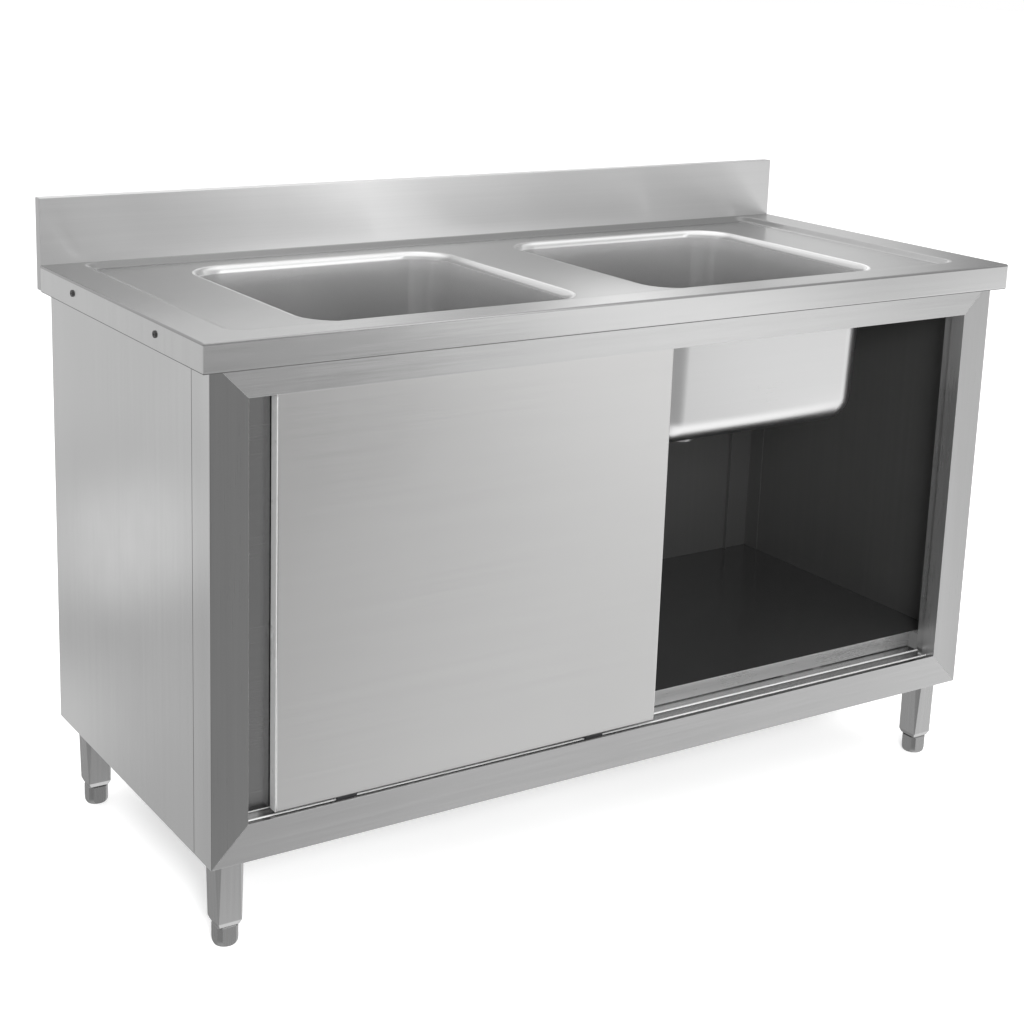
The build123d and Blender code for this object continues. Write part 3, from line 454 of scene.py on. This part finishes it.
def ring(x_low, x_high, y_low, y_high, radius, z):
    """The points of a rounded rectangle, corner by corner."""
    points = []
    for corner_x, corner_y, start in ((x_high - radius, y_high - radius, 0), (x_low + radius, y_high - radius, 90),
                                      (x_low + radius, y_low + radius, 180), (x_high - radius, y_low + radius, 270)):
        for step in range(corner_steps + 1):
            angle = math.radians(start + 90.0 * step / corner_steps)
            points.append(Vector((corner_x + radius * math.cos(angle), corner_y + radius * math.sin(angle), z)))
    return points


def square_ring(centre_x, centre_y, half, radius, z):
    """A ring of equal sides about a centre."""
    return ring(centre_x - half, centre_x + half, centre_y - half, centre_y + half, radius, z)


def add_ring(work, points):
    return [work.verts.new(point * mm) for point in points]


def bridge(work, outer, inner):
    """Bands of four-sided faces between two rings with the same number of points."""
    count = len(outer)
    for i in range(count):
        work.faces.new((outer[i], outer[(i + 1) % count], inner[(i + 1) % count], inner[i]))


def bridge_all(work, rings):
    for outer, inner in zip(rings, rings[1:]):
        bridge(work, outer, inner)


def edges_of(work, loop):
    """The edges that run round a ring which is already bridged."""
    return [work.edges.get((loop[i], loop[(i + 1) % len(loop)])) for i in range(len(loop))]


def eased(share, soft=0.3):
    """Goes from 0 to 1: straight in the middle, rounded at both ends."""
    slope = 1.0 / (1.0 - soft)
    if share < soft:
        return slope * share * share / (2 * soft)
    if share > 1 - soft:
        return 1.0 - slope * (1 - share) ** 2 / (2 * soft)
    return slope * (share - soft / 2)


print("ring points:", len(ring(0, 100, 0, 100, 10, 0)))

# %% [markdown]
# ## Sizes of the worktop
# The flat rim is 850 mm above the floor, and the deck between the bowls is pressed 7 mm lower, so that
# water can't run off. The fascia is turned down 40 mm and in by 13 mm. The tray ends under the upstand.

# %% Worktop sizes
rim_z, deck_z, under_z = 850.0, 843.0, 810.0
half_width, front_y, back_y, upstand_y = 700.0, -300.0, 300.0, 283.0
tray_back = 284.6
fascia_return, under_round, top_round = 13.0, 1.5, 2.0
recess_x, recess_front, recess_back, recess_radius, recess_slope = 643.0, -250.0, 281.0, 30.0, 20.0
bowl_x, bowl_y, bowl_half, bowl_radius = 286.0, -3.5, 224.0, 68.0


def tray_ring(inset, z, radius):
    return ring(-half_width + inset, half_width - inset, front_y + inset, tray_back - inset, radius, z)


def recess_ring(grow, z):
    return ring(-recess_x - grow, recess_x + grow, recess_front - grow, recess_back + min(grow, 1.0),
                recess_radius + grow, z)


def bowl_ring(side, inset, z, radius):
    return square_ring(side * bowl_x, bowl_y, bowl_half - inset, radius, z)


print("worktop", 2 * half_width, "by", back_y - front_y, "mm, bowls", 2 * bowl_half, "mm square")

# %% [markdown]
# ## The worktop's skin
# The rings run from the fold under the fascia, up the fascia, over its rolled edge, across the flat rim
# and down the slope of the recess to the deck. The deck itself is filled with triangles and left open
# where the bowls are. The real sheet is one piece too, pressed and folded, with the bowls welded in.

# %% Worktop skin
work = bmesh.new()
rings = [add_ring(work, tray_ring(inset, under_z, radius))
         for inset, radius in ((fascia_return, 0.5), (3.0, 0.5), (under_round, 0.6))]
for step in range(1, 5):
    turn = math.radians(90.0 * step / 4)
    rings.append(add_ring(work, tray_ring(under_round * (1 - math.sin(turn)),
                                          under_z + under_round * (1 - math.cos(turn)), top_round)))
fascia_low, fascia_high = under_z + 3.0, rim_z - 3.5
rings.append(add_ring(work, tray_ring(0.0, fascia_low, top_round)))
rings.append(add_ring(work, tray_ring(0.0, fascia_high, top_round)))
for step in range(6):
    turn = math.radians(90.0 * step / 5)
    rings.append(add_ring(work, tray_ring(top_round * (1 - math.cos(turn)),
                                          rim_z - top_round * (1 - math.sin(turn)), 2.2)))
rings.append(add_ring(work, tray_ring(2.6, rim_z, 2.2)))
rings.append(add_ring(work, recess_ring(0.6, rim_z)))
for step in range(13):
    share = step / 12
    rings.append(add_ring(work, recess_ring(-recess_slope * share, rim_z - (rim_z - deck_z) * eased(share))))
rings.append(add_ring(work, recess_ring(-recess_slope - 0.6, deck_z)))
bridge_all(work, rings)

deck_edges = edges_of(work, rings[-1])
for side in (-1, 1):
    # a narrow band round each bowl keeps the deck flat up to the bowl's rim
    band = [add_ring(work, bowl_ring(side, -grow, deck_z, bowl_radius + grow)) for grow in (0.8, 0.0)]
    bridge(work, *band)
    deck_edges += edges_of(work, band[0])
bmesh.ops.triangle_fill(work, use_beauty=True, use_dissolve=False, edges=deck_edges)
bmesh.ops.recalc_face_normals(work, faces=work.faces)
if sum(f.normal.z for f in work.faces if abs(f.calc_center_median().z - deck_z * mm) < 1e-5) < 0:
    bmesh.ops.reverse_faces(work, faces=work.faces)
skin_mesh = smooth_mesh(work, "worktop_skin", lengthways)
print("worktop skin:", len(skin_mesh.polygons), "faces in", len(rings), "rings")

# %% [markdown]
# ## One skin, painted three ways
# The skin is one sheet, but the flat top mirrors the ceiling and the fascia mirrors the floor in front,
# so the two are painted apart as lit and shaded copies of one steel. The skin is one sheet, but the flat
# top mirrors the ceiling and the fascia mirrors the floor in front, so the two are tuned apart. The line
# where the tray meets the upstand, and the fold under the fascia, are painted dark as shade.

# %% Worktop steels, painted light and shade
worktop_skin = new_piece(skin_mesh, "sink_unit", worktop_steel, fascia_steel, seam_steel)


# painted shade: these faces take the dark steel
def in_fold_shade(centre):
    """True under the fascia and where the tray meets the upstand."""
    return centre.z < (under_z + 1.3) * mm or (centre.y > (tray_back - 2.2) * mm and centre.z > 846.0 * mm)


def on_the_fascia(centre, normal):
    """True for the upright faces at the front and the two ends."""
    return centre.z < (rim_z - 3.4) * mm and abs(normal.z) < 0.7 and (
        abs(centre.x) > (half_width - 3.0) * mm or centre.y < (front_y + 3.0) * mm)


for face in skin_mesh.polygons:
    if in_fold_shade(face.center):
        face.material_index = 2
    elif on_the_fascia(face.center, face.normal):
        face.material_index = 1
thicken(worktop_skin, 1.2)
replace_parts(worktop_skin, "worktop")
print("faces by finish:", [sum(f.material_index == i for f in skin_mesh.polygons) for i in range(3)])

# %% [markdown]
# ## The upstand
# The sheet turns up along the back, over and down again, and its ends are closed. From outside that is a
# long thin block. Small radii along its folds give the thin bright and dark lines of the photograph.

# %% Upstand
low, high = Vector((-half_width, upstand_y, 811.4)), Vector((half_width, back_y, 950.0))
work = bmesh.new()
bmesh.ops.create_cube(work, size=1.0)
for vert in work.verts:
    vert.co = Vector((low[i] + high[i]) / 2 + vert.co[i] * (high[i] - low[i]) for i in range(3)) * mm
bmesh.ops.bevel(work, geom=work.edges[:], offset=1.6 * mm, offset_type="OFFSET", segments=3, profile=0.5,
                affect="EDGES")
upstand = new_piece(smooth_mesh(work, "worktop_upstand", lengthways), "sink_unit", upstand_steel)
even_flats(upstand)
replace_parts(upstand, "worktop")
print("upstand box:", [round(v, 4) for v in upstand.bound_box[0]])

# %% [markdown]
# ## The side of a bowl
# Each bowl is pressed from one sheet. From the rim down, its side is a roll from the deck, a wall that
# leans in by two degrees, and a wide radius at the floor. A list of insets and depths describes it, and
# the same list serves both bowls. Turning a profile on an axis would only make a round bowl.

# %% Bowl profile
bowl_depth, rim_roll, floor_radius, lean_angle = 250.0, 12.0, 44.0, 2.0
lean = math.tan(math.radians(lean_angle))
# from the corner of wall and floor to where the floor's radius begins
reach = floor_radius / math.tan(math.radians(45.0 + lean_angle / 2))
floor_inset = rim_roll + bowl_depth * lean + reach

profile = [(0.0, 0.0), (0.4, 0.0)]
for step in range(1, 11):
    turn = math.radians((90.0 - lean_angle) * step / 10)
    profile.append((0.4 + (rim_roll - 0.4) * math.sin(turn), rim_roll * (1 - math.cos(turn))))
wall_end = bowl_depth - reach * math.cos(math.radians(lean_angle))
for share in (0.12, 0.3, 0.5, 0.7, 0.88):
    depth = rim_roll + (wall_end - rim_roll) * share
    profile.append((rim_roll + depth * lean, depth))
for step in range(11):
    turn = math.radians(lean_angle + (90.0 - lean_angle) * step / 10)
    profile.append((floor_inset - floor_radius * math.cos(turn), bowl_depth - floor_radius * (1 - math.sin(turn))))
print("bowl profile:", len(profile), "steps, flat floor from", round(floor_inset, 1), "mm inside the rim")

# %% [markdown]
# ## The bowls
# The floor runs from its square shape to a round dish in five rings, and the dish steps down 3 mm, so
# that the flange of the waste lies below the floor and the last water runs off.

# %% Bowls
floor_z = deck_z - bowl_depth
floor_half, floor_corner = bowl_half - floor_inset, bowl_radius - floor_inset
dish_half, dish_corner = 46.0, 45.6
dish_steps = ((44.0, 0.4), (41.5, 1.5), (39.0, 2.7), (37.5, 3.0), (24.6, 3.0))

for side, name in ((-1, "left_bowl"), (1, "right_bowl")):
    work = bmesh.new()
    rings = [add_ring(work, bowl_ring(side, inset, deck_z - depth, bowl_radius - inset)) for inset, depth in profile]
    for share in (0.06, 0.3, 0.6, 0.9, 1.0):
        half = floor_half + (dish_half - floor_half) * share
        corner = floor_corner + (dish_corner - floor_corner) * share
        rings.append(add_ring(work, square_ring(side * bowl_x, bowl_y, half, corner, floor_z)))
    for radius, drop in dish_steps:
        rings.append(add_ring(work, square_ring(side * bowl_x, bowl_y, radius, radius - 0.3, floor_z - drop)))
    bridge_all(work, rings)
    bmesh.ops.recalc_face_normals(work, faces=work.faces)
    if min(work.faces, key=lambda f: f.calc_center_median().z).normal.z < 0:
        bmesh.ops.reverse_faces(work, faces=work.faces)
    mesh = smooth_mesh(work, name + "_pan", lengthways)
    pan = new_piece(mesh, "sink_unit", bowl_steel, bowl_outside)
    thicken(pan, 1.0, other_side=1)
    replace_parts(pan, name)
    print(name, "pan:", len(mesh.polygons), "faces")

# %% [markdown]
# ## Front frame
# The front frame is four folded sheets, mitred at the corners. Its rails are brushed along their length
# and its posts from top to bottom, which is why the mitres show so clearly in the photograph. A post is
# one sheet too, but its three parts are painted apart as painted light and shade: the flank round the side,
# the stepped jamb inside, and the small round where it turns in, which has a painted highlight. The left
# post is painted darker than the right.

# %% Front frame
def is_flank(centre, normal):
    """True for the part of a front post that wraps round the side."""
    return abs(normal.x) > 0.7 and abs(centre.x) > 0.6835


def is_jamb(centre, normal):
    """True for the stepped jamb behind the face of a front post."""
    return centre.y > -0.279 and abs(centre.x) < 0.66


def is_turned_edge(centre, normal):
    """True for the small round where a front post turns in towards the opening."""
    outwards = normal.x * (1 if centre.x > 0 else -1)
    return normal.y < -0.15 and -0.97 < outwards < -0.15


for node, finish in (("front_left_post", post_steel), ("front_right_post", right_post_steel)):
    softened(node, finish, upright, radius=0.0011, segments=3, others=(
        (is_flank, side_steel), (is_jamb, jamb_steel), (is_turned_edge, edge_steel)))
for node, finish in (("front_top_rail", rail_steel), ("front_bottom_rail", low_rail_steel)):
    softened(node, finish, lengthways)

# %% [markdown]
# ## Panels, rear frame and shelf
# The panels are painted bright outside and dark inside, as painted light and painted shade, so each takes
# two steels by the way its faces look. The shelf is painted dark as shade and its front lip has a painted
# highlight. The rear posts and rails are only seen from inside the cupboard and from the back.

# %% Panels, rear frame and shelf
def faces_in(centre, normal):
    """True for a face that looks towards the middle of the cupboard."""
    return centre.x * normal.x + centre.y * normal.y < -0.01


def is_shelf_lip(centre, normal):
    """True for the turned-down front edge of the shelf."""
    return centre.y < -0.22 and normal.y < -0.3


for node in ("left_side_panel", "right_side_panel", "back_panel"):
    softened(node, side_steel, upright, radius=0.0004, others=((faces_in, inner_steel),))
for node in ("rear_left_post", "rear_right_post"):
    softened(node, inner_steel, upright, radius=0.0004)
for node in ("rear_top_rail", "rear_bottom_rail"):
    softened(node, side_steel, lengthways, others=((faces_in, inner_steel),))
softened("bottom_shelf", shelf_steel, lengthways, others=((is_shelf_lip, lip_steel),))

# %% [markdown]
# ## Bottom track
# The doors' nylon guides run along two ridges of the bottom track, whose crowns are painted bright as a
# painted highlight. The crowns are found by height on the finished mesh, so that they stay right if the
# track changes.

# %% Bottom track
crown_height = 0.0042
track = softened("bottom_track", track_steel, lengthways, radius=0.0003)
track.data.materials.append(ridge_steel)
top = max(v.co.z for v in track.data.vertices)
for face in track.data.polygons:
    if abs(face.normal.y) > 0.05 and face.normal.z > 0.3 and face.center.z > top - crown_height:
        face.material_index = 1
print("bright ridge faces:", sum(f.material_index == 1 for f in track.data.polygons), "top", round(top, 4))

# %% [markdown]
# ## Doors
# Each door is a folded pan with soft corners and a liner at the back. The front door is bright. The rear
# door stands in its shade, so its steel is painted darker as painted shade. Their left sides are painted
# bright as a painted highlight.

# %% Doors
def is_left_end(centre, normal):
    """True for the side of a door that looks to the left."""
    return normal.x < -0.7


for door, finish in (("front_door", door_steel), ("rear_door", rear_door_steel)):
    softened(door + "_skin", finish, lengthways, radius=0.0004, angle=50.0,
                     others=((is_left_end, edge_steel),))
    softened(door + "_liner", door_steel, lengthways, radius=0.0004)
print("doors done")

# %% [markdown]
# ## Legs
# The legs are square tapered sockets with cut corners. Their edges are rounded a little more than the
# sheet's, because they are drawn from tube. The round feet below them keep their CAD shape.

# %% Legs
for corner in ("front_left", "front_right", "rear_left", "rear_right"):
    softened(corner + "_leg", leg_steel, upright, radius=0.0007, segments=3, angle=12.0)
print("legs done")

# %% [markdown]
# ## The rest of the CAD nodes
# Fixings, tracks, rollers, wastes, feet and stiffeners already have their final shape. They get their
# material and a grain map. The map is written on the node's own mesh and moves nothing.

# %% Remaining nodes
finish_by_slot = {
    "worktop_steel": worktop_steel, "bowl_steel": bowl_steel, "frame_steel": rail_steel, "panel_steel": side_steel,
    "door_steel": door_steel, "leg_steel": leg_steel, "foot_steel": foot_steel, "inner_steel": hidden_steel,
    "zinc_fixings": waste_steel, "waste_steel": waste_steel, "waste_plastic": black_plastic,
    "seal_rubber": rubber, "roller_nylon": nylon}
# the waste fittings take the darker hidden steel: painted shade under the bowls
finish_by_node = {
    "worktop_screws": screw_steel, "left_waste_fitting": hidden_steel, "right_waste_fitting": hidden_steel,
    "front_door_guides": dark_nylon, "rear_door_guides": dark_nylon}
slot_of = {part["node"]: part["material_slot"] for part in frame["record"]["subparts"]}
covered = set()
for obj in bpy.data.objects:
    covered |= set(obj.get("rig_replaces", []))
for node, obj in nodes.items():
    if node not in covered:
        map_grain(obj.data, upright if "foot" in node or "waste" in node else lengthways)
        give(obj, finish_by_node.get(node) or finish_by_slot[slot_of[node]])
print("dressed in place:", len(nodes) - len(covered))

# %% [markdown]
# ## Floor
# The unit stands on a plain pale floor that takes a faint shadow. To the camera the floor also glows a
# little, so that it fades into the white behind it. The steel doesn't mirror it: the lower part of the
# world stands in for it there, where its tones can be set by direction.

# %% Floor
work = bmesh.new()
bmesh.ops.create_grid(work, x_segments=1, y_segments=1, size=30.0)
floor_mesh = bpy.data.meshes.new("floor")
work.to_mesh(floor_mesh)
work.free()
floor = bpy.data.objects.new("floor", floor_mesh)
bpy.context.scene.collection.objects.link(floor)
floor_material, tree, shader = new_material("pale_floor")
shader.inputs["Base Color"].default_value = (0.93, 0.93, 0.93, 1.0)
shader.inputs["Roughness"].default_value = 0.9
shader.inputs["Specular IOR Level"].default_value = 0.1
shader.inputs["Emission Color"].default_value = (1.0, 1.0, 1.0, 1.0)
to_camera = tree.nodes.new("ShaderNodeLightPath").outputs["Is Camera Ray"]
tree.links.new(combine(tree, "MULTIPLY", to_camera, 0.42), shader.inputs["Emission Strength"])
give(floor, floor_material)
floor.visible_glossy = False
print("floor:", [round(v, 1) for v in floor.dimensions])

# %% [markdown]
# ## A room for the steel to mirror
# Steel has no look of its own: it shows the room round it. The room could be built out of panels and
# lamps. Here it is a world whose brightness depends on two angles, the heading and the rise of each ray,
# because each gradient of the photograph can then be set where the sheet mirrors it.

# %% World angles
world = bpy.data.worlds.new("studio")
bpy.context.scene.world = world
world.use_nodes = True
sky = world.node_tree
sky.nodes.clear()
ray = sky.nodes.new("ShaderNodeTexCoord").outputs["Generated"]
split = sky.nodes.new("ShaderNodeSeparateXYZ")
sky.links.new(ray, split.inputs["Vector"])
heading = combine(sky, "ARCTAN2", split.outputs["X"], combine(sky, "MULTIPLY", split.outputs["Y"], -1.0))
heading_share = remap(sky, heading, 0.0, 1.0, -math.pi, math.pi)
rise = combine(sky, "MULTIPLY", combine(sky, "ARCSINE", split.outputs["Z"], 0.0), 180.0 / math.pi)
brightest = 2.0


def round_the_room(stops):
    """Brightness by heading: degrees from the front, positive to the right as seen from the front."""
    ramp = sky.nodes.new("ShaderNodeValToRGB")
    ramp.color_ramp.interpolation = "EASE"
    points = ramp.color_ramp.elements
    while len(points) > 1:
        points.remove(points[-1])
    for index, (degrees, value) in enumerate(stops):
        place = (degrees + 180.0) / 360.0
        point = points[0] if index == 0 else points.new(place)
        point.position = place
        point.color = (value / brightest,) * 3 + (1.0,)
    sky.links.new(heading_share, ramp.inputs["Fac"])
    return combine(sky, "MULTIPLY", ramp.outputs["Color"], brightest)


def blend(first, second, low, high):
    """first below the rise low, second above the rise high, in degrees."""
    share = remap(sky, rise, 0.0, 1.0, low, high, smooth=True)
    kept = combine(sky, "MULTIPLY", first, combine(sky, "SUBTRACT", 1.0, share))
    return combine(sky, "ADD", kept, combine(sky, "MULTIPLY", second, share))


def patch(degrees, height, core, edge, strength):
    """A soft round patch of light at one heading and rise, with the radii of its core and its edge."""
    turn, lift = math.radians(degrees), math.radians(height)
    dot = sky.nodes.new("ShaderNodeVectorMath")
    dot.operation = "DOT_PRODUCT"
    dot.inputs[1].default_value = (math.sin(turn) * math.cos(lift), -math.cos(turn) * math.cos(lift), math.sin(lift))
    sky.links.new(ray, dot.inputs[0])
    return remap(sky, dot.outputs["Value"], 0.0, strength, math.cos(math.radians(edge)),
                 math.cos(math.radians(core)), smooth=True)


print("world angles ready")

# %% [markdown]
# ## Four bands and a ceiling
# From below to above, the room has the ground near the unit, the floor further off, the walls and the
# lamps on them. Each band is a list of headings and brightnesses. Seen from the camera, the doors mirror
# the headings from 20 to 60 degrees in the lower bands, and the upstand mirrors them in the lamps' band.
# The flat top mirrors the lamps' band at the back, from 128 to 161 degrees. The ceiling is even.

# %% World bands
ground_light = round_the_room([
    (-180, 0.40), (-158, 0.42), (-120, 0.7), (-90, 0.8), (-20, 0.9), (15, 1.25), (60, 1.35), (90, 1.2), (180, 0.40)])
floor_light = round_the_room([
    (-180, 0.48), (-158, 0.48), (-145, 0.6), (-90, 0.45), (0, 0.36), (20, 0.40), (24, 0.50), (28, 0.62), (31, 0.68),
    (34, 0.86), (38, 0.73), (43, 0.80), (48, 1.0), (55, 1.4), (65, 1.2), (120, 0.8), (180, 0.48)])
wall_light = round_the_room([
    (-180, 0.68), (-158, 0.66), (-120, 0.6), (-60, 0.5), (0, 0.33), (20, 0.33), (29, 0.32), (31.5, 0.40),
    (33.5, 0.90), (40, 1.15), (43, 1.18), (45, 1.05), (47, 0.60), (49, 0.72), (55, 1.2), (65, 1.1), (90, 0.8),
    (180, 0.68)])
lamp_light = round_the_room([
    (-180, 0.8), (-160, 0.72), (-120, 0.6), (-60, 0.5), (0, 0.6), (17, 0.60), (23.5, 0.62), (27.0, 1.95),
    (30, 1.85), (33, 1.35), (37, 0.95), (41, 0.55), (50, 0.50), (60, 0.6), (110, 0.8), (128, 0.22), (131.5, 0.36),
    (133.5, 0.70), (136, 0.95), (138, 0.90), (139.7, 0.70), (141.5, 1.60), (143.2, 1.60), (146, 0.66), (148, 0.75),
    (150.5, 1.1), (154, 1.0), (157, 0.95), (161, 0.8), (180, 0.8)])
ceiling = sky.nodes.new("ShaderNodeValue").outputs[0]
ceiling.default_value = 1.15
level = ground_light
for band, low, high in ((floor_light, -44.0, -26.0), (wall_light, -19.0, -14.0), (lamp_light, -9.6, -8.0),
                        (ceiling, 34.0, 58.0)):
    level = blend(level, band, low, high)
print("bands blended, nodes:", len(sky.nodes))

# %% [markdown]
# ## Patches and backdrop
# A high patch at the back brightens the slope of the recess and the rims of the bowls, and two small ones
# behind the left end draw the slanting sheen on the side panel. The camera itself sees plain white, as in
# a shop's photograph.

# %% World patches and output
for spot in ((157.0, 57.0, 3.0, 15.0, 0.35), (-158.3, -18.5, 0.3, 2.7, 0.50), (-162.3, -24.0, 0.3, 3.0, 0.45)):
    level = combine(sky, "ADD", level, patch(*spot))
room, white = (sky.nodes.new("ShaderNodeBackground") for _ in range(2))
for background in (room, white):
    background.inputs["Color"].default_value = (1.0, 1.0, 1.0, 1.0)
sky.links.new(level, room.inputs["Strength"])
white.inputs["Strength"].default_value = 1.0
mix = sky.nodes.new("ShaderNodeMixShader")
output = sky.nodes.new("ShaderNodeOutputWorld")
sky.links.new(sky.nodes.new("ShaderNodeLightPath").outputs["Is Camera Ray"], mix.inputs["Fac"])
sky.links.new(room.outputs["Background"], mix.inputs[1])
sky.links.new(white.outputs["Background"], mix.inputs[2])
sky.links.new(mix.outputs["Shader"], output.inputs["Surface"])
print("world nodes:", len(sky.nodes))

# %% [markdown]
# ## Lamps
# Two soft panel lamps give the dull parts their light and the unit its faint shadow on the floor. The
# steel doesn't mirror them, because their sharp outlines would draw white lines on every fold.

# %% Lamps
def area(name, place, target, width, height, power):
    """A soft panel lamp that isn't seen in the steel."""
    data = bpy.data.lights.new(name, "AREA")
    data.shape = "RECTANGLE"
    data.size = width
    data.size_y = height
    data.energy = power
    lamp = bpy.data.objects.new(name, data)
    bpy.context.scene.collection.objects.link(lamp)
    lamp.location = place
    lamp.rotation_euler = (Vector(target) - Vector(place)).to_track_quat("-Z", "Y").to_euler()
    lamp.visible_glossy = False


area("overhead", (0.4, -0.3, 3.6), (0, 0, 0.6), 3.0, 2.2, 50.0)
area("front_fill", (-1.6, -3.6, 1.9), (0.3, 0, 0.45), 1.2, 1.0, 150.0)
bpy.context.scene.view_settings.view_transform = "Standard"

# %% Update the scene
bpy.context.view_layer.update()
